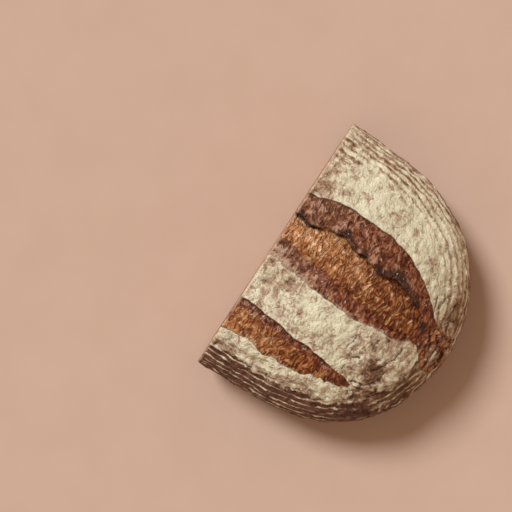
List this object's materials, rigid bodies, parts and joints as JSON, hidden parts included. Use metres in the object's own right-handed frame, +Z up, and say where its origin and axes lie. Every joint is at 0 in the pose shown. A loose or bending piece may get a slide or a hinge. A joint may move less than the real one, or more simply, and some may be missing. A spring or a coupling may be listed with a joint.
{
  "type": "half sourdough loaf",
  "caption": "Heel half of an oval floured hearth loaf with basket rings and lengthwise slashes, cut straight across and resting on its flat base.",
  "frame": {"origin": "under the middle of the half loaf, on the surface that it stands on", "axes": "+Z up, +Y from the cut face to the tip of the heel, +X along the cut, towards the side with the second slash"},
  "size_m": [0.176, 0.128, 0.0924],
  "materials": {
    "crust": "matte"
  },
  "bodies": {
    "root": {"half_loaf": "crust"}
  },
  "joints": []
}
